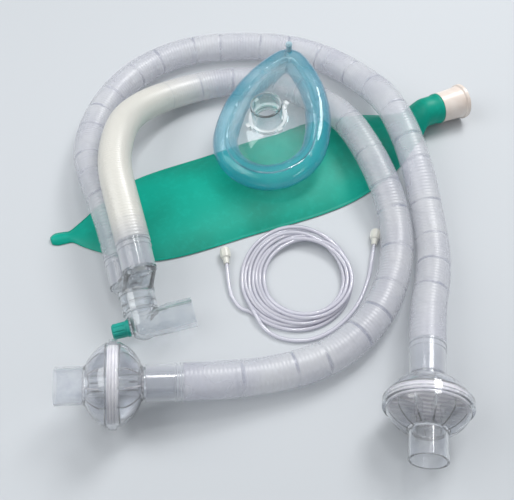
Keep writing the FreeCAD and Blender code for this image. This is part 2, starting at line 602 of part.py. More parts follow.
def dome_solid(inset):
    """The dome's outer form, or its inner form when inset by the wall."""
    rows = [(CUSHION_TUBE_R * 1.55, 1.0, 0.0), (DOME_HEIGHT * 0.62, 0.86, 0.05), (DOME_HEIGHT * 0.84, 0.62, 0.10)]
    sections = []
    for height, share, back in rows:
        sections.append(teardrop(height - inset * 0.4, CHIN_R * share - inset, max(NOSE_R * share, 3.4) - inset,
                                 NOSE_OFFSET * (share ** 1.25), SIDE_R * share - inset, MASK_PORT_Y * back))
    sections.append(port_circle(MASK_PORT_OD / 2 + 2.0 - inset, DOME_HEIGHT - inset * 0.8))
    return Part.makeLoft(sections, True, False)


def mask_frame(shape):
    copy = shape.copy()
    turn = FreeCAD.Rotation(V(0, 0, 1), MASK_YAW).multiply(
        FreeCAD.Rotation(V(1, 0, 0), MASK_TILT)).multiply(FreeCAD.Rotation(V(0, 1, 0), MASK_ROLL))
    copy.Placement = FreeCAD.Placement(MASK_CENTRE, turn).multiply(shape.Placement)
    return copy


def mask_cushion():
    """Inflated ring, grooved where the dome's skirt and the valve stem are bonded in."""
    path = teardrop(CUSHION_TUBE_R, CHIN_R, NOSE_R, NOSE_OFFSET, SIDE_R)
    ring = Part.Wire(Part.makeCircle(CUSHION_TUBE_R, V(0, -CHIN_R, CUSHION_TUBE_R), V(1, 0, 0)))
    return path.makePipeShell([ring], True, False).cut(dome_shell()).cut(valve_hole())


def dome_shell():
    return dome_solid(0.0).cut(dome_solid(DOME_WALL))


def mask_dome():
    """Clear dome with its 22 mm port, moulded in one."""
    outer_r, bore_r = MASK_PORT_OD / 2, CONE_22_D / 2
    collar = revolved([
        (bore_r, DOME_HEIGHT - 3.0), (outer_r + 1.4, DOME_HEIGHT - 3.0), (outer_r + 1.4, DOME_HEIGHT - 0.4),
        (outer_r, DOME_HEIGHT + 0.2), (outer_r, MASK_PORT_TOP - 0.6), (outer_r - 0.6, MASK_PORT_TOP),
        (bore_r, MASK_PORT_TOP)])
    collar.translate(V(0, MASK_PORT_Y, 0))
    bore = rod(CONE_22_D, 40.0, DOME_HEIGHT - 10.0)
    bore.translate(V(0, MASK_PORT_Y, 0))
    return fused([dome_shell().cut(bore), collar])


def hook_ring():
    """Flat ring round the port with four upturned hooks for a head harness."""
    hole_r = MASK_PORT_OD / 2 + HOOK_RING_GAP
    ring = rod(HOOK_RING_OD, HOOK_RING_THICK).cut(rod(2 * hole_r, HOOK_RING_THICK + 2, -1))
    post = HOOK_REACH - 1.8
    outline = [
        (HOOK_RING_OD / 2 - 2.0, 0), (HOOK_REACH - 0.8, 0), (HOOK_REACH, 0.8), (HOOK_REACH, HOOK_TIP_HEIGHT - 1.6),
        (HOOK_REACH + 1.2, HOOK_TIP_HEIGHT - 1.2), (HOOK_REACH + 1.2, HOOK_TIP_HEIGHT), (post, HOOK_TIP_HEIGHT),
        (post, HOOK_RING_THICK), (HOOK_RING_OD / 2 - 2.0, HOOK_RING_THICK)]
    corners = [V(r, -HOOK_WIDTH / 2, z) for r, z in outline]
    hook = Part.Face(Part.makePolygon(corners + [corners[0]])).extrude(V(0, HOOK_WIDTH, 0))
    whole = fused([ring] + around(hook, HOOK_COUNT, 45.0))
    whole.translate(V(0, MASK_PORT_Y, DOME_HEIGHT + HOOK_RING_GAP))
    return whole


VALVE_FOOT = V(0, NOSE_OFFSET + NOSE_R + VALVE_OUTWARD, 2 * CUSHION_TUBE_R - VALVE_SEAT)


def valve_hole():
    return Part.makeCylinder(VALVE_STEM_D / 2, VALVE_SEAT + 2, VALVE_FOOT)


def valve_stem():
    stem = rod(VALVE_STEM_D, VALVE_STEM_LENGTH).cut(rod(VALVE_BORE_D, VALVE_STEM_LENGTH, VALVE_SEAT))
    stem.translate(VALVE_FOOT)
    return stem


def valve_plug():
    """Tapered plug with a flat head, pushed into the stem."""
    shank = VALVE_BORE_D / 2 - PLUG_GAP
    plug = revolved([
        (0, -PLUG_LENGTH), (shank - 0.4, -PLUG_LENGTH), (shank, -PLUG_LENGTH + 1), (shank, 0),
        (VALVE_PLUG_HEAD_D / 2, 0), (VALVE_PLUG_HEAD_D / 2, 1.2), (VALVE_PLUG_HEAD_D / 2 - 1.4, 2.4), (0, 2.4)])
    plug.translate(VALVE_FOOT + V(0, 0, VALVE_STEM_LENGTH + CAP_SEAT_GAP))
    return plug


# Routes chosen by hand. The first and last runs follow the cuffs that the hose is bonded into.

INSP_ROUTE = [
    (-141.5, 41, 29), (-154.8, 76, 21.5), (-157.4, 117, 14.5), (-146, 160, 13), (-119.2, 198, 13), (-79, 222.7, 13),
    (-30, 229, 13), (19, 225.7, 13), (58, 207.5, 13), (86, 176, 17), (102, 139, 30), (113, 99, 32),
    (121, 60, 25), (125.5, 22, 14.5), (125.8, -13, 13), (119.5, -44.5, 18.5)]
EXP_ROUTE = [
    (-120, 40, 54), (-124, 72, 50), (-122.5, 103, 40), (-111.8, 131, 28), (-94, 153, 18.5), (-67.6, 169.8, 13.5),
    (-33.7, 179.3, 13), (5, 174.6, 13), (39.8, 155.5, 14.6), (65, 122.2, 23.2), (80, 86, 25.5), (93, 49, 21),
    (99.5, 13, 13.5), (96.5, -22, 13), (85, -55, 13), (70, -78, 13), (48, -98.5, 13), (22, -111.5, 13),
    (-7, -118.5, 14.5)]
LEFT_TAIL = [(-32.1, -47, 1.5), (-26.5, -56, 1.6), (-18.5, -61.5, 2.2)]
RIGHT_TAIL = [
    (75.1, -31.6, 1.5), (66.3, -53, 1.5), (54.5, -68.5, 1.5), (38.9, -80.9, 1.5), (22, -86, 1.5), (5, -84, 1.6),
    (-7, -76, 1.8), (-13, -65.5, 2.4)]


def hose(name, wye_sign, filter_centre, filter_axis, middle):
    """One limb, from its wye cuff to its filter cuff."""
    axis = unit(filter_axis)
    start = arm_point(wye_sign, CUFF_END)
    end = filter_centre + axis * HOSE_TO_FLANGE
    points = [start, start + WYE_AXIS * FIRST_HOSE_RUN] + [V(*p) for p in middle] + [end + axis * FIRST_HOSE_RUN, end]
    for point in (points[0], points[1], points[-2], points[-1]):
        print("  %s route point %.1f %.1f %.1f" % (name, point.x, point.y, point.z))
    save(name, tube(name, points, HOSE_OD, HOSE_OD - 2 * HOSE_WALL))


def sampling_line():
    """The coil's envelope, two free tails and their fittings."""
    save("sampling_line_coil", sampling_coil())
    rest_height = LUER_COLLAR_D / 2 + 0.4
    for name, spot, middle in (("left", LEFT_LUER_POS, LEFT_TAIL), ("right", RIGHT_LUER_POS, RIGHT_TAIL)):
        first = V(*middle[0])
        foot = spot + V(0, 0, rest_height)
        away = unit(V(foot.x - first.x, foot.y - first.y, 0))
        save(name + "_luer_lock", placed(luer_lock(), foot, away))
        points = [foot, foot - away * LINE_FIRST_RUN] + [V(*p) for p in middle]
        save("sampling_line_" + name + "_tail", tube(name + " tail", points, LINE_D))


def breathing_hoses():
    hose("inspiratory_hose", -1, INSP_FILTER_POS, INSP_FILTER_AXIS, INSP_ROUTE)
    hose("expiratory_hose", 1, EXP_FILTER_POS, EXP_FILTER_AXIS, EXP_ROUTE)
    save("inspiratory_wye_cuff", placed(hose_cuff(WYE_CUFF_LENGTH), arm_point(-1, CUFF_START), WYE_AXIS))
    save("expiratory_wye_cuff", placed(hose_cuff(WYE_CUFF_LENGTH), arm_point(1, CUFF_START), WYE_AXIS))


def face_mask():
    save("mask_dome", mask_frame(mask_dome()))
    save("mask_cushion", mask_frame(mask_cushion()))
    save("mask_hook_ring", mask_frame(hook_ring()))
    save("cushion_valve_stem", mask_frame(valve_stem()))
    save("cushion_valve_plug", mask_frame(valve_plug()))


os.makedirs("parts", exist_ok=True)
save("wye_body", wye_body())
save("patient_elbow", patient_elbow())
save("sampling_port_cap", sampling_port_cap())
filter_pieces("inspiratory", INSP_FILTER_POS, INSP_FILTER_AXIS)
filter_pieces("expiratory", EXP_FILTER_POS, EXP_FILTER_AXIS)
breathing_hoses()
save("breathing_bag", bag())
save("bag_bushing", bag_bushing())
face_mask()
sampling_line()
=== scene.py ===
# Anaesthesia breathing circuit laid out as a kit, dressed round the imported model. Metres, floor at z = 0.
import bpy
import bmesh
import math
import random
from mathutils import Matrix, Vector, noise


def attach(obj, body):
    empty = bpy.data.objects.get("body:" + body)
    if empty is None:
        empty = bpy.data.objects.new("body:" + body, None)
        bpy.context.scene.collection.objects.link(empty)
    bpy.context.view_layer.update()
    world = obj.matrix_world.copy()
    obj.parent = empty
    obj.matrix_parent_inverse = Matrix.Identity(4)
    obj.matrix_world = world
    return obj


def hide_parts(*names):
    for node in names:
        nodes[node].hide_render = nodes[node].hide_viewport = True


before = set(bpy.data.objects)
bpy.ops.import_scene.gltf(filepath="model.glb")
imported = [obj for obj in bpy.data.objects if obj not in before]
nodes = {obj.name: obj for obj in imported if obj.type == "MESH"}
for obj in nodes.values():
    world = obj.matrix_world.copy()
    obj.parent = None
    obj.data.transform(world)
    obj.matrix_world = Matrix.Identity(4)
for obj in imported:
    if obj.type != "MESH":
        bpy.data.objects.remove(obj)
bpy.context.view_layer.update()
MM = 0.001
chance = random.Random(22)

# Camera: the photograph was taken from in front and well above. Its frame is 514 by 500 pixels.
PHOTO_WIDTH = 514
FOCAL_PIXELS = 672
SENSOR_MM = 36
CAMERA_AIM = Vector((-0.012, -0.004, 0.0))
CAMERA_HEIGHT_ANGLE = 56
CAMERA_DISTANCE = 0.540
CAMERA_NEAR = 0.01

# Breathing hoses. The real folds are finer: this pitch is as coarse as they need to be to show.
HOSE_OD = 26.0 * MM
HOSE_FILM = 0.5 * MM
HOSE_SEGMENTS = 40
HOSE_SWELL = 0.25 * MM
SWELLS_PER_METRE = 30
SWELL_PATTERN = 7.0
FOLD_DEPTH = 0.26 * MM
FOLD_PROFILE = (1.0, 0.45, 0.0, 0.45)
OPEN_PITCH = 2.8 * MM
CLOSED_PITCH = 2.2 * MM
CLOSED_STRETCH = (-0.010, 0.022, 0.165, 0.265)
RING_GAP_SHORT = 22 * MM
RING_GAP_LONG = 40 * MM
FIRST_RING = 0.7 * RING_GAP_SHORT
RING_WIDTH = 1.7 * MM
RING_DEPTH = 0.55 * MM
RING_PATTERN_STEP = 300
# How strongly, and how unevenly round each ring, the painted shade darkens the necked rings
RING_SHADE_STRENGTH = 0.5
RING_SHADE_UNEVENNESS = 1.3
RING_SHADE_FAINTEST = 0.12

INSPIRATORY_ROUTE = [
    (-0.1163, -0.0239, 0.0183), (-0.1239, 0.0022, 0.0250), (-0.1415, 0.041, 0.029), (-0.1548, 0.076, 0.0215),
    (-0.1574, 0.117, 0.0145), (-0.146, 0.160, 0.013), (-0.1192, 0.198, 0.013), (-0.079, 0.2227, 0.013),
    (-0.030, 0.229, 0.013), (0.019, 0.2257, 0.013), (0.058, 0.2075, 0.013), (0.086, 0.176, 0.017),
    (0.102, 0.139, 0.030), (0.113, 0.099, 0.032), (0.121, 0.060, 0.025), (0.1255, 0.022, 0.0145),
    (0.1258, -0.013, 0.013), (0.1195, -0.0445, 0.0185), (0.1101, -0.0731, 0.0236), (0.1059, -0.1007, 0.0260)]
EXPIRATORY_ROUTE = [
    (-0.1027, -0.0266, 0.0438), (-0.1108, -0.0008, 0.0505), (-0.1228, 0.037, 0.0543), (-0.1245, 0.072, 0.050),
    (-0.1225, 0.103, 0.040), (-0.1118, 0.131, 0.028), (-0.094, 0.153, 0.0185), (-0.0676, 0.1698, 0.0135),
    (-0.0337, 0.1793, 0.013), (0.005, 0.1746, 0.013), (0.0398, 0.1555, 0.0146), (0.065, 0.1222, 0.0232),
    (0.080, 0.086, 0.0255), (0.093, 0.049, 0.021), (0.0995, 0.013, 0.0135), (0.0965, -0.022, 0.013),
    (0.085, -0.055, 0.013), (0.070, -0.078, 0.013), (0.048, -0.0985, 0.013), (0.022, -0.1115, 0.013),
    (-0.007, -0.1185, 0.0145), (-0.0341, -0.1239, 0.0196), (-0.0617, -0.1267, 0.0236)]

# Filters
INSPIRATORY_FILTER_AXIS = (0.150, 0.985, -0.085)
EXPIRATORY_FILTER_AXIS = (0.985, 0.100, -0.140)
PLEAT_EDGE_GAP = 1.9 * MM

# Gas sampling line: eight turns, each in its own slot, counted from the outside of the coil
LINE_D = 3.0 * MM
COIL_CENTRE = Vector((0.0172, -0.0326, 0.0))
COIL_TURNS = 8
COIL_STEPS = 16
COIL_OUTER_R = 44.6 * MM
COIL_START = math.radians(219)
LEFT_SPACING = 2.9 * MM
RIGHT_SPACING = 3.1 * MM
TURNS_ABREAST = 3
LAYER_RISE = 0.95 * RIGHT_SPACING
LAYER_EASE = 0.55
COIL_BACK_FAN = 7.5 * MM
COIL_BACK_RISE = 4.0 * MM
TURN_ORDER = [0, 2, 4, 6, 7, 5, 3, 1]
SLOT_CHANGE_FROM = 0.45
SLOT_CHANGE_TO = 0.75
CROSSING_HUMP = 2.4 * MM
FIRST_CROSSING_TURN = 4
LINE_WANDER = 0.35 * MM
LEFT_TAIL = [
    (-0.0358, -0.0200, 0.0041), (-0.0344, -0.0339, 0.0035), (-0.0321, -0.047, 0.0018),
    (-0.0265, -0.056, 0.0016), (-0.0225, -0.0595, 0.0018)]
RIGHT_TAIL = [
    (-0.013, -0.0655, 0.0046), (-0.007, -0.076, 0.0018), (0.005, -0.084, 0.0016), (0.022, -0.086, 0.0015),
    (0.0389, -0.0809, 0.0015), (0.0545, -0.0685, 0.0015), (0.0663, -0.053, 0.0015),
    (0.0751, -0.0316, 0.0015), (0.0787, -0.0157, 0.0035), (0.0816, -0.0020, 0.0041)]

# Rebreathing bag, in its own frame: x along its length from the tail, then turned and moved on the floor.
# A station gives its share of the length, its middle in mm, and its half width and height as shares.
BAG_TAIL = Vector((-0.1783, 0.0033, 0.0))
BAG_TURN = math.radians(22.3)
BAG_LENGTH = 0.357
BAG_HALF_WIDTH = 0.050
BAG_HEIGHT = 0.0095
BAG_STATIONS = [
    (0.000, 1.0, 0.070, 0.30), (0.010, 1.0, 0.118, 0.45), (0.028, 0.2, 0.122, 0.42),
    (0.045, -1.0, 0.122, 0.36), (0.062, -3.0, 0.220, 0.38), (0.090, -4.8, 0.370, 0.42),
    (0.130, -6.2, 0.580, 0.48), (0.220, -7.2, 0.880, 0.60), (0.420, -8.0, 0.950, 1.00),
    (0.660, -7.4, 0.990, 1.00), (0.815, -3.4, 0.760, 1.20), (0.915, 0.6, 0.390, 1.85)]
BAG_AROUND = 72
BAG_ROWS = 150
BAG_UNDERSIDE = 0.05 * MM
BAG_THINNEST = 0.25 * MM
BAG_SLACK = 0.3 * MM
CROWN_POWER = 2.2
SEAM_FROM = 0.97
SEAM_LIP = 0.7 * MM
RIPPLE = 0.35 * MM
RIPPLES_PER_METRE = (30, 55)
RIPPLE_PATTERN = 3.0
HOLLOW = 1.1 * MM
HOLLOWS_PER_METRE = (17, 6)
HOLLOW_PATTERN = 9.0
GATHER = 0.35 * MM
GATHER_SPACING = 2.4 * MM
GATHER_FROM = 0.72
GATHER_GROWTH = 0.2
NECK_START = 0.343
NECK_STRAIGHT = NECK_START + 0.004
NECK_R = 0.0127
NECK_BORE_R = 0.0117
NECK_BORE_DEPTH = 0.010
NECK_BEAD_R = 0.0135
NECK_BEAD_START = BAG_LENGTH - 0.003
NECK_BEAD_SHOULDER = 0.001
NECK_RIM_LENGTH = 0.0006
NECK_RIM_DEPTH = 0.0005
NECK_OFFSET = 0.0015
NECK_HEIGHT = 0.0156

# Face mask, in its own frame: nose towards +Y
MASK_CENTRE = Vector((0.0005, 0.0925, 0.0169))
MASK_YAW = math.radians(-12.0)
MASK_TILT = math.radians(9.0)
MASK_ROLL = math.radians(-4.0)
CHIN_R = 38.5 * MM
NOSE_R = 9.0 * MM
NOSE_OFFSET = 76.0 * MM
SIDE_R = 112.0 * MM
CUSHION_R = 11.0 * MM
CUSHION_AROUND = 220
CUSHION_SECTION = 40
CUSHION_SLACK = 0.25 * MM
PUCKER = 0.3 * MM
PUCKERS_PER_METRE = 140
PUCKER_ROUND = 1.5
WELD_RIDGE = 0.35 * MM

# How much a see-through finish hides of what lies behind it: two shares where it runs from thin to dense
HOSE_COVER = (0.32, 0.72)
CUFF_COVER = (0.3, 0.8)
CUSHION_COVER = (0.26, 0.8)
LINE_COVER = 0.62
VALVE_COVER = 0.7
LAMP_LIGHT_THROUGH = 0.75

# Studio: each lamp has its place, size and power
FLOOR_REACH = 4.0
FLOOR_DROP = 0.0002
SURROUND_STRENGTH = 0.62
LAMP_AIM = Vector((0, 0.02, 0.02))
LAMPS = [
    ("key", (0.55, 0.75, 1.15), 0.5, 10.5),
    ("fill", (-0.9, -0.1, 0.95), 0.9, 6.0),
    ("spark", (0.1, 0.25, 1.2), 0.14, 1.6)]


# Colours and shader nodes

def colour(code):
    """An sRGB hex value as linear red, green, blue and full alpha."""
    parts = [int(code[i:i + 2], 16) / 255 for i in (1, 3, 5)]
    return [p / 12.92 if p <= 0.04045 else ((p + 0.055) / 1.055) ** 2.4 for p in parts] + [1.0]


def add(tree, kind, inputs=None, **settings):
    """Adds one shader node: settings are its properties, inputs its sockets' values or incoming links."""
    made = tree.nodes.new(kind)
    for key, value in settings.items():
        setattr(made, key, value)
    for key, value in (inputs or {}).items():
        if isinstance(value, bpy.types.NodeSocket):
            tree.links.new(value, made.inputs[key])
        else:
            made.inputs[key].default_value = value
    return made


def new_finish(name):
    """An empty material and its node tree."""
    made = bpy.data.materials.new(name)
    made.use_nodes = True
    made.node_tree.nodes.clear()
    return made, made.node_tree


def grain(tree, millimetres, detail=3.0, roughness=0.5):
    """Noise whose blotches are about this many millimetres across."""
    place = add(tree, "ShaderNodeTexCoord").outputs["Object"]
    blotches = add(tree, "ShaderNodeTexNoise", {
        "Vector": place, "Scale": 1 / (millimetres * MM), "Detail": detail, "Roughness": roughness})
    return blotches.outputs["Fac"]


def two_tone(tree, factor, low, high, start=0.3, end=0.7):
    """A ramp from one colour to another over part of the factor's range."""
    ramp = add(tree, "ShaderNodeValToRGB", {"Fac": factor})
    ramp.color_ramp.elements[0].position = start
    ramp.color_ramp.elements[0].color = low
    ramp.color_ramp.elements[1].position = end
    ramp.color_ramp.elements[1].color = high
    return ramp.outputs["Color"]


def relief(tree, height, depth_mm, strength):
    """Marks too fine for the mesh, this many millimetres deep."""
    bump = add(tree, "ShaderNodeBump", {"Height": height, "Distance": depth_mm * MM, "Strength": strength})
    return bump.outputs["Normal"]


def frosted_hose_film():
    """Blown polyethylene film: milky, half clear and waxy, whiter where its folds lie closed, with painted
    shade darkening its necked rings.
    """
    made, tree = new_finish("frosted_hose_film")
    closed = add(tree, "ShaderNodeAttribute", attribute_name="closed_fold").outputs["Fac"]
    ring = add(tree, "ShaderNodeAttribute", attribute_name="fold_ring_shade").outputs["Fac"]
    film = two_tone(tree, grain(tree, 38, detail=2.0), colour("#D2D3DF"), colour("#EAEBEF"))
    dense = add(tree, "ShaderNodeMix", {"Factor": closed, "A": film, "B": colour("#F1EFE7")},
                data_type="RGBA").outputs["Result"]
    # Painted shade: the film turns blue-grey in the necked rings, more on some sides of a ring than others
    painted_ring_shade = add(tree, "ShaderNodeMix", {"Factor": ring, "A": dense, "B": colour("#9297AE")},
                  data_type="RGBA").outputs["Result"]
    cover = add(tree, "ShaderNodeMapRange", {
        "Value": closed, "To Min": HOSE_COVER[0], "To Max": HOSE_COVER[1]}).outputs["Result"]
    shader = add(tree, "ShaderNodeBsdfPrincipled", {
        "Base Color": painted_ring_shade, "Alpha": cover, "Roughness": 0.4, "IOR": 1.51, "Specular IOR Level": 0.9,
        "Coat Weight": 0.7, "Coat Roughness": 0.24,
        "Normal": relief(tree, grain(tree, 2.2), depth_mm=0.1, strength=0.4)})
    add(tree, "ShaderNodeOutputMaterial", {"Surface": shader.outputs["BSDF"]})
    return made


def soft_cuff_moulding():
    """Moulded soft ethylene vinyl acetate: smooth, greyish and nearly clear, with a painted sheen brightening
    it along its edges.
    """
    made, tree = new_finish("soft_cuff_moulding")
    edge = add(tree, "ShaderNodeLayerWeight", {"Blend": 0.45}).outputs["Facing"]
    # Painted sheen: the colour runs lighter towards the edges, where the surface turns away from the eye
    tint = two_tone(tree, edge, colour("#C9CDD6"), colour("#F2F4F7"), start=0.15, end=0.9)
    cover = add(tree, "ShaderNodeMapRange", {
        "Value": edge, "To Min": CUFF_COVER[0], "To Max": CUFF_COVER[1]}).outputs["Result"]
    shader = add(tree, "ShaderNodeBsdfPrincipled", {
        "Base Color": tint, "Alpha": cover, "Roughness": 0.16, "IOR": 1.48, "Specular IOR Level": 0.8,
        "Coat Weight": 0.6, "Coat Roughness": 0.06,
        "Normal": relief(tree, grain(tree, 3), depth_mm=0.08, strength=0.4)})
    add(tree, "ShaderNodeOutputMaterial", {"Surface": shader.outputs["BSDF"]})
    return made


def light_through(tree, share):
    """Full cover to the eye, with this share of a lamp's light let through to what lies inside."""
    shadow = add(tree, "ShaderNodeLightPath").outputs["Is Shadow Ray"]
    cover = add(tree, "ShaderNodeMapRange", {"Value": shadow, "To Min": 1.0, "To Max": 1.0 - share})
    return cover.outputs["Result"]


def clear_polystyrene(name, tint, clearness, roughness):
    """Injection-moulded clear styrene: hard and glassy, dark at its edges, with faint flow marks."""
    made, tree = new_finish(name)
    flow = two_tone(tree, grain(tree, 9, detail=4.0), colour(tint), colour("#F8FAFB"), start=0.35, end=0.75)
    shader = add(tree, "ShaderNodeBsdfPrincipled", {
        "Base Color": flow, "Transmission Weight": clearness, "Roughness": roughness, "IOR": 1.59,
        "Specular IOR Level": 0.7, "Alpha": light_through(tree, LAMP_LIGHT_THROUGH),
        "Normal": relief(tree, grain(tree, 5), depth_mm=0.05, strength=0.3)})
    add(tree, "ShaderNodeOutputMaterial", {"Surface": shader.outputs["BSDF"]})
    return made


def pleated_fleece(name, axis):
    """Electret polypropylene fleece: white, soft and fibrous, with painted shade in lines between its pleats
    round the rim.
    """
    made, tree = new_finish(name)
    fibres = grain(tree, 0.8, detail=4.0, roughness=0.6)
    place = add(tree, "ShaderNodeTexCoord").outputs["Object"]
    depth = add(tree, "ShaderNodeVectorMath", {0: place, 1: axis}, operation="DOT_PRODUCT").outputs["Value"]
    turns = add(tree, "ShaderNodeMath", {0: depth, 1: 2 * math.pi / PLEAT_EDGE_GAP},
                operation="MULTIPLY").outputs["Value"]
    edges = add(tree, "ShaderNodeMath", {0: turns}, operation="SINE").outputs["Value"]
    # Painted shade: greyer lines, one to each pleat along the axis, where the gaps between pleats lie in
    # shade
    shade = add(tree, "ShaderNodeMapRange", {
        "Value": edges, "From Min": 0.1, "From Max": 0.9}).outputs["Result"]
    fleece = two_tone(tree, fibres, colour("#EFEBED"), colour("#FDFBFB"))
    shaded = add(tree, "ShaderNodeMix", {"Factor": shade, "A": fleece, "B": colour("#C9C2CB")},
                 data_type="RGBA").outputs["Result"]
    shader = add(tree, "ShaderNodeBsdfPrincipled", {
        "Base Color": shaded, "Roughness": 0.92, "Sheen Weight": 0.3, "Sheen Roughness": 0.5,
        "Normal": relief(tree, edges, depth_mm=-0.3, strength=0.6)})
    add(tree, "ShaderNodeOutputMaterial", {"Surface": shader.outputs["BSDF"]})
    return made


def dipped_bag_rubber():
    """Dipped synthetic rubber: thin, satin, emerald green, with a dusting of powder in its folds."""
    made, tree = new_finish("dipped_bag_rubber")
    wide = grain(tree, 70, detail=1.0)
    broad = two_tone(tree, wide, colour("#008A75"), colour("#00AE98"), start=0.4, end=0.6)
    fine = grain(tree, 6, detail=5.0, roughness=0.65)
    powder = two_tone(tree, fine, colour("#009681"), colour("#14B7A2"), start=0.5, end=0.8)
    shade = add(tree, "ShaderNodeMix", {"Factor": 0.35, "A": broad, "B": powder},
                data_type="RGBA").outputs["Result"]
    shader = add(tree, "ShaderNodeBsdfPrincipled", {
        "Base Color": shade, "Roughness": 0.42, "IOR": 1.52, "Specular IOR Level": 0.22,
        "Sheen Weight": 0.02, "Sheen Roughness": 0.4,
        "Normal": relief(tree, grain(tree, 1.6, detail=4.0), depth_mm=0.05, strength=0.5)})
    add(tree, "ShaderNodeOutputMaterial", {"Surface": shader.outputs["BSDF"]})
    return made


def moulded_plastic(name, low, high, roughness, cover=1.0):
    """Moulded polypropylene or nylon, smooth off the tool with a fine spark-eroded grain."""
    made, tree = new_finish(name)
    spark_grain = grain(tree, 0.7, detail=2.0)
    shader = add(tree, "ShaderNodeBsdfPrincipled", {
        "Base Color": two_tone(tree, grain(tree, 12), colour(low), colour(high)), "Alpha": cover,
        "Roughness": roughness, "IOR": 1.5, "Normal": relief(tree, spark_grain, depth_mm=0.02, strength=0.5)})
    add(tree, "ShaderNodeOutputMaterial", {"Surface": shader.outputs["BSDF"]})
    return made


def blown_cushion_film():
    """Plasticised vinyl film, blown and blue-tinted: clear, wet-looking, deeper where it is seen edge on."""
    made, tree = new_finish("blown_cushion_film")
    edge = add(tree, "ShaderNodeLayerWeight", {"Blend": 0.35}).outputs["Facing"]
    tint = two_tone(tree, edge, colour("#2BB6CE"), colour("#08709B"), start=0.1, end=0.9)
    cover = add(tree, "ShaderNodeMapRange", {
        "Value": edge, "To Min": CUSHION_COVER[0], "To Max": CUSHION_COVER[1]}).outputs["Result"]
    shader = add(tree, "ShaderNodeBsdfPrincipled", {
        "Base Color": tint, "Alpha": cover, "Roughness": 0.1, "IOR": 1.53, "Specular IOR Level": 1.0,
        "Coat Weight": 1.0, "Coat Roughness": 0.03,
        "Normal": relief(tree, grain(tree, 7, detail=2.0), depth_mm=0.35, strength=0.5)})
    add(tree, "ShaderNodeOutputMaterial", {"Surface": shader.outputs["BSDF"]})
    return made


def extruded_line_vinyl():
    """Extruded clear vinyl tubing: glassy, faintly lilac where turns lie on each other."""
    made, tree = new_finish("extruded_line_vinyl")
    edge = add(tree, "ShaderNodeLayerWeight", {"Blend": 0.4}).outputs["Facing"]
    tint = two_tone(tree, edge, colour("#E9E8F2"), colour("#A9A8BE"), start=0.1, end=0.95)
    shader = add(tree, "ShaderNodeBsdfPrincipled", {
        "Base Color": tint, "Alpha": LINE_COVER, "Roughness": 0.1, "IOR": 1.53, "Specular IOR Level": 0.9,
        "Coat Weight": 0.4, "Coat Roughness": 0.05,
        "Normal": relief(tree, grain(tree, 9, detail=1.0), depth_mm=0.1, strength=0.3)})
    add(tree, "ShaderNodeOutputMaterial", {"Surface": shader.outputs["BSDF"]})
    return made


# Lines and meshes

def smooth_line(points):
    """Points read along the one smooth NURBS spline that has the route's points as its control points."""
    data = bpy.data.curves.new("route", "CURVE")
    data.dimensions = "3D"
    data.resolution_u = 16
    spline = data.splines.new("NURBS")
    spline.points.add(len(points) - 1)
    for knot, place in zip(spline.points, points):
        knot.co = (*place, 1.0)
    spline.order_u = 3
    spline.use_endpoint_u = True
    carrier = bpy.data.objects.new("route", data)
    mesh = bpy.data.meshes.new_from_object(carrier)
    line = [v.co.copy() for v in mesh.vertices]
    bpy.data.objects.remove(carrier)
    bpy.data.curves.remove(data)
    bpy.data.meshes.remove(mesh)
    return line


def line_length(line):
    return sum((b - a).length for a, b in zip(line, line[1:]))


def walk(line, distances):
    """Places and directions at growing distances along a line of points."""
    found = []
    index, passed = 0, 0.0
    for distance in distances:
        while index < len(line) - 2 and passed + (line[index + 1] - line[index]).length < distance:
            passed += (line[index + 1] - line[index]).length
            index += 1
        step = line[index + 1] - line[index]
        share = (distance - passed) / step.length
        direction = step.normalized()
        if 0 < index < len(line) - 2:
            before = (line[index] - line[index - 1]).normalized()
            after = (line[index + 2] - line[index + 1]).normalized()
            direction = (before.lerp(direction, 0.5 + share / 2) if share < 0.5 else
                         direction.lerp(after, share / 2)).normalized()
        found.append((line[index] + step * share, direction))
    return found


def carried_sides(stations):
    """A side vector for each station, carried along the line without twist."""
    side = stations[0][1].orthogonal().normalized()
    sides = []
    for _, direction in stations:
        side = (side - direction * side.dot(direction)).normalized()
        sides.append(side)
    return sides


def ring_points(place, direction, side, radius, count):
    up = direction.cross(side)
    turns = (2 * math.pi * k / count for k in range(count))
    return [place + (side * math.cos(a) + up * math.sin(a)) * radius for a in turns]


def bridge(mesh, first, second):
    """A band of quads between two closed rows of vertices."""
    count = len(first)
    for k in range(count):
        mesh.faces.new((first[k], first[(k + 1) % count], second[(k + 1) % count], second[k]))


def finished(name, mesh, material, smooth=True):
    """A Blender object from a bmesh, with one material, shaded smooth or flat."""
    bmesh.ops.recalc_face_normals(mesh, faces=mesh.faces)
    data = bpy.data.meshes.new(name)
    mesh.to_mesh(data)
    mesh.free()
    for face in data.polygons:
        face.use_smooth = smooth
    data.materials.append(material)
    made = bpy.data.objects.new(name, data)
    bpy.context.scene.collection.objects.link(made)
    return made


# Breathing hoses: finely folded film with necked rings at uneven places

def smooth_step(value, low, high):
    share = min(max((value - low) / (high - low), 0.0), 1.0)
    return share * share * (3 - 2 * share)


def closeness(distance, stretch):
    """How closed the folds are at a distance along the hose, from 0 to 1."""
    if not stretch:
        return 0.0
    return smooth_step(distance, stretch[0], stretch[1]) * (1 - smooth_step(distance, stretch[2], stretch[3]))


def fold_rows(length, stretch):
    """Rows along the hose: the distance of each, its place in its fold, and how closed the folds are."""
    rows = []
    distance, index = 0.0, 0
    while distance < length:
        closed = closeness(distance, stretch)
        rows.append((distance, index % len(FOLD_PROFILE), closed))
        distance += (OPEN_PITCH + (CLOSED_PITCH - OPEN_PITCH) * closed) / len(FOLD_PROFILE)
        index += 1
    rows.append((length, 0, closeness(length, stretch)))
    return rows


def ring_places(length):
    """Distances of the necked rings, unevenly spaced."""
    places = []
    at = FIRST_RING
    while at < length - RING_GAP_SHORT / 2:
        places.append(at)
        at += chance.uniform(RING_GAP_SHORT, RING_GAP_LONG)
    return places


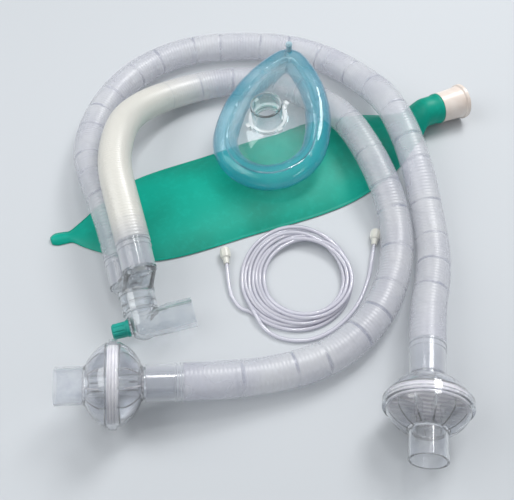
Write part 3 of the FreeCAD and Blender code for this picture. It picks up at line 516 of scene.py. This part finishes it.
def breathing_hose(name, route, stretch, material):
    """A hose skin of two walls along its route, closed at its ends."""
    line = smooth_line(route)
    length = line_length(line)
    rows = fold_rows(length, stretch)
    rings = ring_places(length)
    stations = walk(line, [row[0] for row in rows])
    sides = carried_sides(stations)
    pattern = SWELL_PATTERN if stretch else 0.0
    mesh = bmesh.new()
    closed_layer = mesh.verts.layers.float.new("closed_fold")
    ring_shade_layer = mesh.verts.layers.float.new("fold_ring_shade")
    outer, inner = [], []
    for (distance, phase, closed), (place, direction), side in zip(rows, stations, sides):
        nearest = min(rings, key=lambda at: abs(distance - at))
        neck = max(0.0, 1.0 - abs(distance - nearest) / RING_WIDTH) * (1 - closed)
        depth = FOLD_DEPTH * FOLD_PROFILE[phase] + RING_DEPTH * neck
        swell = HOSE_SWELL * noise.noise(Vector((distance * SWELLS_PER_METRE, pattern, SWELL_PATTERN)))
        radius = min(HOSE_OD / 2 - depth + swell, HOSE_OD / 2)
        for wall, reach in ((outer, radius), (inner, radius - HOSE_FILM)):
            row = [mesh.verts.new(p) for p in ring_points(place, direction, side, reach, HOSE_SEGMENTS)]
            for k, vertex in enumerate(row):
                angle = 2 * math.pi * k / HOSE_SEGMENTS
                patch = noise.noise(Vector((math.cos(angle), math.sin(angle), nearest * RING_PATTERN_STEP)))
                share = min(max(RING_SHADE_STRENGTH + RING_SHADE_UNEVENNESS * patch, RING_SHADE_FAINTEST), 1.0)
                vertex[closed_layer] = closed
                # The share of painted ring shade that this vertex gets
                vertex[ring_shade_layer] = neck * share
            wall.append(row)
    for wall in (outer, inner):
        for first, second in zip(wall, wall[1:]):
            bridge(mesh, first, second)
    bridge(mesh, outer[0], inner[0])
    bridge(mesh, outer[-1], inner[-1])
    hose = finished(name, mesh, material)
    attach(hose, "circuit")
    return hose


# Gas sampling line: two tails and a coil that lies fanned on one side and bunched on the other

def coil_slot(number, angle):
    """Where one turn runs: side by side at the left, three abreast and stacked at the right."""
    right = 0.5 + 0.5 * math.cos(angle)
    left_r = COIL_OUTER_R - number * LEFT_SPACING
    right_r = COIL_OUTER_R - (number % TURNS_ABREAST) * RIGHT_SPACING
    rise = (number // TURNS_ABREAST) * LAYER_RISE * right ** LAYER_EASE
    back = max(0.0, math.sin(angle)) ** 2 * (1 - number / (COIL_TURNS - 1))
    reach = left_r + (right_r - left_r) * right + COIL_BACK_FAN * back
    return reach, LINE_D / 2 + rise + COIL_BACK_RISE * back


def coil_points():
    """The spline's points round the coil: each turn keeps to its slot and then eases over into the next."""
    points = []
    for step in range(COIL_TURNS * COIL_STEPS):
        turn, share = divmod(step / COIL_STEPS, 1.0)
        here = TURN_ORDER[int(turn)]
        then = TURN_ORDER[min(int(turn) + 1, COIL_TURNS - 1)]
        angle = COIL_START + 2 * math.pi * share
        crossing = smooth_step(share, SLOT_CHANGE_FROM, SLOT_CHANGE_TO)
        reach_here, rise_here = coil_slot(here, angle)
        reach_then, rise_then = coil_slot(then, angle)
        wander = chance.uniform(-LINE_WANDER, LINE_WANDER)
        reach = reach_here + (reach_then - reach_here) * crossing + wander
        hump = CROSSING_HUMP * math.sin(math.pi * crossing) if turn >= FIRST_CROSSING_TURN else 0.0
        rise = rise_here + (rise_then - rise_here) * crossing + hump
        points.append(COIL_CENTRE + Vector((reach * math.cos(angle), reach * math.sin(angle), rise)))
    return points


def sampling_line(material):
    """One open spline from luer to luer."""
    points = [Vector(p) for p in LEFT_TAIL] + coil_points() + [Vector(p) for p in RIGHT_TAIL]
    data = bpy.data.curves.new("gas_sampling_line", "CURVE")
    data.dimensions = "3D"
    data.bevel_depth = LINE_D / 2
    data.bevel_resolution = 4
    data.resolution_u = 6
    data.use_fill_caps = True
    spline = data.splines.new("NURBS")
    spline.points.add(len(points) - 1)
    for knot, place in zip(spline.points, points):
        knot.co = (*place, 1.0)
    spline.order_u = 3
    spline.use_endpoint_u = True
    data.materials.append(material)
    line = bpy.data.objects.new("gas_sampling_line", data)
    bpy.context.scene.collection.objects.link(line)
    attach(line, "circuit")
    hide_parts("sampling_line_coil", "sampling_line_left_tail", "sampling_line_right_tail")
    line_length(smooth_line(points))


# Rebreathing bag

def eased(stations, share):
    """Offset, half width and height between stations, eased without overshoot."""
    for low, high in zip(stations, stations[1:]):
        if share <= high[0]:
            t = (share - low[0]) / (high[0] - low[0])
            index = stations.index(low)
            before = stations[max(index - 1, 0)]
            after = stations[min(index + 2, len(stations) - 1)]
            values = []
            for k in (1, 2, 3):
                slope_low = (high[k] - before[k]) / (high[0] - before[0]) * (high[0] - low[0])
                slope_high = (after[k] - low[k]) / (after[0] - low[0]) * (high[0] - low[0])
                h00, h10 = 2 * t ** 3 - 3 * t ** 2 + 1, t ** 3 - 2 * t ** 2 + t
                h01, h11 = -2 * t ** 3 + 3 * t ** 2, t ** 3 - t ** 2
                values.append(h00 * low[k] + h10 * slope_low + h01 * high[k] + h11 * slope_high)
            return values
    return list(stations[-1][1:])


def bag_ring(share):
    """One closed row round the bag at a share of its length, bent into the neck near the end."""
    x = share * BAG_LENGTH
    last = BAG_STATIONS[-1][0]
    middle, half, height = eased(BAG_STATIONS, min(share, last))
    middle, half, height = middle * MM, half * BAG_HALF_WIDTH, height * BAG_HEIGHT
    bend = smooth_step(x, last * BAG_LENGTH, NECK_START)
    gathered = GATHER * max(0.0, (share - GATHER_FROM) / GATHER_GROWTH) * (1 - bend)
    row = []
    for k in range(BAG_AROUND):
        angle = 2 * math.pi * k / BAG_AROUND
        across, up = math.cos(angle), math.sin(angle)
        flat_y = middle + half * across
        lip = SEAM_LIP * (1 - abs(up)) if abs(across) > SEAM_FROM else 0.0
        flat_z = BAG_UNDERSIDE + lip
        if up > 0:
            ripple_at = Vector((x * RIPPLES_PER_METRE[0], flat_y * RIPPLES_PER_METRE[1], RIPPLE_PATTERN))
            hollow_at = Vector((x * HOLLOWS_PER_METRE[0], flat_y * HOLLOWS_PER_METRE[1], HOLLOW_PATTERN))
            soft = RIPPLE * noise.noise(ripple_at) - BAG_SLACK + HOLLOW * min(noise.noise(hollow_at), 0.0)
            gather = gathered * math.sin(flat_y / GATHER_SPACING)
            crown = (height + soft + gather) * (1 - abs(across) ** CROWN_POWER)
            flat_z = max(crown, BAG_THINNEST) + lip
        neck_y = NECK_OFFSET + NECK_R * across
        neck_z = NECK_HEIGHT + NECK_R * up
        row.append(Vector((x, flat_y + (neck_y - flat_y) * bend, flat_z + (neck_z - flat_z) * bend)))
    return row


def rebreathing_bag(material):
    """The bag as a closed skin with its soft hollows, gathered shoulder and beaded neck."""
    skins = [bag_ring(NECK_START / BAG_LENGTH * i / BAG_ROWS) for i in range(BAG_ROWS + 1)]
    neck_profile = [
        (NECK_STRAIGHT, NECK_R), (NECK_BEAD_START - NECK_BEAD_SHOULDER, NECK_R),
        (NECK_BEAD_START, NECK_BEAD_R), (BAG_LENGTH - NECK_RIM_LENGTH, NECK_BEAD_R),
        (BAG_LENGTH, NECK_BEAD_R - NECK_RIM_DEPTH),
        (BAG_LENGTH, NECK_BORE_R), (BAG_LENGTH - NECK_BORE_DEPTH, NECK_BORE_R)]
    along, side = Vector((1, 0, 0)), Vector((0, 1, 0))
    for x, radius in neck_profile:
        skins.append(ring_points(Vector((x, NECK_OFFSET, NECK_HEIGHT)), along, side, radius, BAG_AROUND))
    turned = Matrix.Translation(BAG_TAIL) @ Matrix.Rotation(BAG_TURN, 4, "Z")
    mesh = bmesh.new()
    made = [[mesh.verts.new(turned @ p) for p in skin] for skin in skins]
    for first, second in zip(made, made[1:]):
        bridge(mesh, first, second)
    mesh.faces.new(made[0])
    mesh.faces.new(made[-1])
    bag = finished("rebreathing_bag", mesh, material)
    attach(bag, "circuit")
    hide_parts("breathing_bag")


# Mask cushion

def teardrop_point(share):
    """A point of the cushion's centre line: chin arc, side arc, nose arc and side arc."""
    reach_chin, reach_nose = SIDE_R - CHIN_R, SIDE_R - NOSE_R
    rise = (reach_chin ** 2 - reach_nose ** 2 + NOSE_OFFSET ** 2) / (2 * NOSE_OFFSET)
    across = math.sqrt(reach_chin ** 2 - rise ** 2)
    chin_half = math.atan2(across, rise)
    nose_half = math.atan2(across, NOSE_OFFSET - rise)
    side_sweep = math.pi - chin_half - nose_half
    lengths = [CHIN_R * chin_half, SIDE_R * side_sweep, NOSE_R * nose_half]
    half = sum(lengths)
    mirrored = share > 0.5
    distance = (1 - share if mirrored else share) * 2 * half
    if distance < lengths[0]:
        angle = -math.pi / 2 + distance / CHIN_R
        point = Vector((CHIN_R * math.cos(angle), CHIN_R * math.sin(angle)))
        outward = Vector((math.cos(angle), math.sin(angle)))
    elif distance < lengths[0] + lengths[1]:
        angle = -math.pi / 2 + chin_half + (distance - lengths[0]) / SIDE_R
        centre = Vector((-across, rise))
        outward = Vector((math.cos(angle), math.sin(angle)))
        point = centre + outward * SIDE_R
    else:
        angle = math.pi / 2 - (half - distance) / NOSE_R
        outward = Vector((math.cos(angle), math.sin(angle)))
        point = Vector((0, NOSE_OFFSET)) + outward * NOSE_R
    if mirrored:
        point.x, outward.x = -point.x, -outward.x
    return point, outward


def mask_matrix():
    turn = Matrix.Rotation(MASK_YAW, 4, "Z")
    turn = turn @ Matrix.Rotation(MASK_TILT, 4, "X")
    turn = turn @ Matrix.Rotation(MASK_ROLL, 4, "Y")
    return Matrix.Translation(MASK_CENTRE) @ turn


def mask_cushion(material):
    """The inflated ring, with a weld line inside and out and faint puckers."""
    mask = mask_matrix()
    mesh = bmesh.new()
    rows = []
    for i in range(CUSHION_AROUND):
        point, outward = teardrop_point(i / CUSHION_AROUND)
        row = []
        for k in range(CUSHION_SECTION):
            angle = 2 * math.pi * k / CUSHION_SECTION
            pucker = PUCKER * noise.noise(Vector((
                point.x * PUCKERS_PER_METRE, point.y * PUCKERS_PER_METRE, math.sin(angle) * PUCKER_ROUND)))
            weld = WELD_RIDGE if k in (0, CUSHION_SECTION // 2) else 0.0
            radius = CUSHION_R - CUSHION_SLACK + pucker + weld
            place = point + outward * radius * math.cos(angle)
            height = CUSHION_R + radius * math.sin(angle)
            row.append(mesh.verts.new(mask @ Vector((place.x, place.y, height))))
        rows.append(row)
    for first, second in zip(rows, rows[1:] + rows[:1]):
        bridge(mesh, first, second)
    cushion = finished("inflated_mask_cushion", mesh, material)
    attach(cushion, "circuit")
    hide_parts("mask_cushion")


# Moulded pieces kept from the model

def dress(material, *names):
    """Puts one finish on the model's own pieces."""
    for name in names:
        for holder in nodes[name].material_slots:
            holder.material = material


# Stage

def studio():
    """A pale flat floor, three soft lamps, and a pale surround that darkens towards the horizon."""
    made, tree = new_finish("pale_floor")
    shader = add(tree, "ShaderNodeBsdfPrincipled", {"Base Color": colour("#C9CDD1"), "Roughness": 0.7})
    add(tree, "ShaderNodeOutputMaterial", {"Surface": shader.outputs["BSDF"]})
    mesh = bmesh.new()
    square = ((-1, -1), (1, -1), (1, 1), (-1, 1))
    mesh.faces.new([mesh.verts.new((x * FLOOR_REACH, y * FLOOR_REACH, -FLOOR_DROP)) for x, y in square])
    floor = finished("studio_floor", mesh, made, smooth=False)
    world = bpy.data.worlds.new("studio")
    bpy.context.scene.world = world
    world.use_nodes = True
    sky = world.node_tree
    outlook = add(sky, "ShaderNodeTexCoord").outputs["Generated"]
    up = add(sky, "ShaderNodeSeparateXYZ", {"Vector": outlook}).outputs["Z"]
    surround = two_tone(sky, up, colour("#8E979F"), colour("#F6F8FA"), start=0.05, end=0.85)
    sky.links.new(surround, sky.nodes["Background"].inputs["Color"])
    sky.nodes["Background"].inputs["Strength"].default_value = SURROUND_STRENGTH
    for name, place, size, power in LAMPS:
        lamp = bpy.data.lights.new(name, "AREA")
        lamp.size = size
        lamp.energy = power
        stand = bpy.data.objects.new(name, lamp)
        stand.location = place
        stand.rotation_euler = (LAMP_AIM - Vector(place)).to_track_quat("-Z", "Y").to_euler()
        bpy.context.scene.collection.objects.link(stand)


def camera():
    """The photograph's viewing angle and frame."""
    data = bpy.data.cameras.new("photo_view")
    data.sensor_width = SENSOR_MM
    data.lens = FOCAL_PIXELS / PHOTO_WIDTH * SENSOR_MM
    data.clip_start = CAMERA_NEAR
    view = bpy.data.objects.new("photo_view", data)
    lift = math.radians(CAMERA_HEIGHT_ANGLE)
    view.location = CAMERA_AIM + Vector((0, -math.cos(lift), math.sin(lift))) * CAMERA_DISTANCE
    view.rotation_euler = (CAMERA_AIM - view.location).to_track_quat("-Z", "Y").to_euler()
    bpy.context.scene.collection.objects.link(view)
    bpy.context.scene.camera = view


camera()
studio()
hose_film = frosted_hose_film()
inspiratory_skin = breathing_hose("inspiratory_hose_skin", INSPIRATORY_ROUTE, None, hose_film)
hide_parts("inspiratory_hose")
expiratory_skin = breathing_hose("expiratory_hose_skin", EXPIRATORY_ROUTE, CLOSED_STRETCH, hose_film)
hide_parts("expiratory_hose")
sampling_line(extruded_line_vinyl())
rebreathing_bag(dipped_bag_rubber())
mask_cushion(blown_cushion_film())
dress(soft_cuff_moulding(), "inspiratory_wye_cuff", "expiratory_wye_cuff",
      "inspiratory_filter_cuff", "expiratory_filter_cuff")
connector = clear_polystyrene("clear_connector", "#E6EAEE", 0.92, 0.05)
dress(connector, "wye_body", "patient_elbow")
housing = clear_polystyrene("clear_filter_housing", "#EAECF1", 0.92, 0.06)
dress(housing, "inspiratory_filter_hose_shell", "inspiratory_filter_port_shell",
      "expiratory_filter_hose_shell", "expiratory_filter_port_shell")
dress(pleated_fleece("inspiratory_fleece", INSPIRATORY_FILTER_AXIS), "inspiratory_filter_media")
dress(pleated_fleece("expiratory_fleece", EXPIRATORY_FILTER_AXIS), "expiratory_filter_media")
dress(clear_polystyrene("clear_mask_dome", "#E4EFF1", 0.96, 0.04), "mask_dome")
dress(clear_polystyrene("clear_hook_ring", "#E8EEF0", 0.5, 0.08), "mask_hook_ring")
dress(moulded_plastic("teal_cap_plastic", "#0E8F83", "#12A294", 0.38), "sampling_port_cap")
dress(moulded_plastic("beige_bushing_plastic", "#E2D3C8", "#EFE4DB", 0.3), "bag_bushing")
valve_plastic = moulded_plastic("pale_valve_plastic", "#A9CBD8", "#C4DDE5", 0.25, VALVE_COVER)
dress(valve_plastic, "cushion_valve_stem", "cushion_valve_plug")
luer_plastic = moulded_plastic("cream_luer_plastic", "#D9D8CF", "#E8E7DF", 0.28)
dress(luer_plastic, "left_luer_lock", "right_luer_lock")

bpy.context.scene.view_settings.view_transform = "Standard"
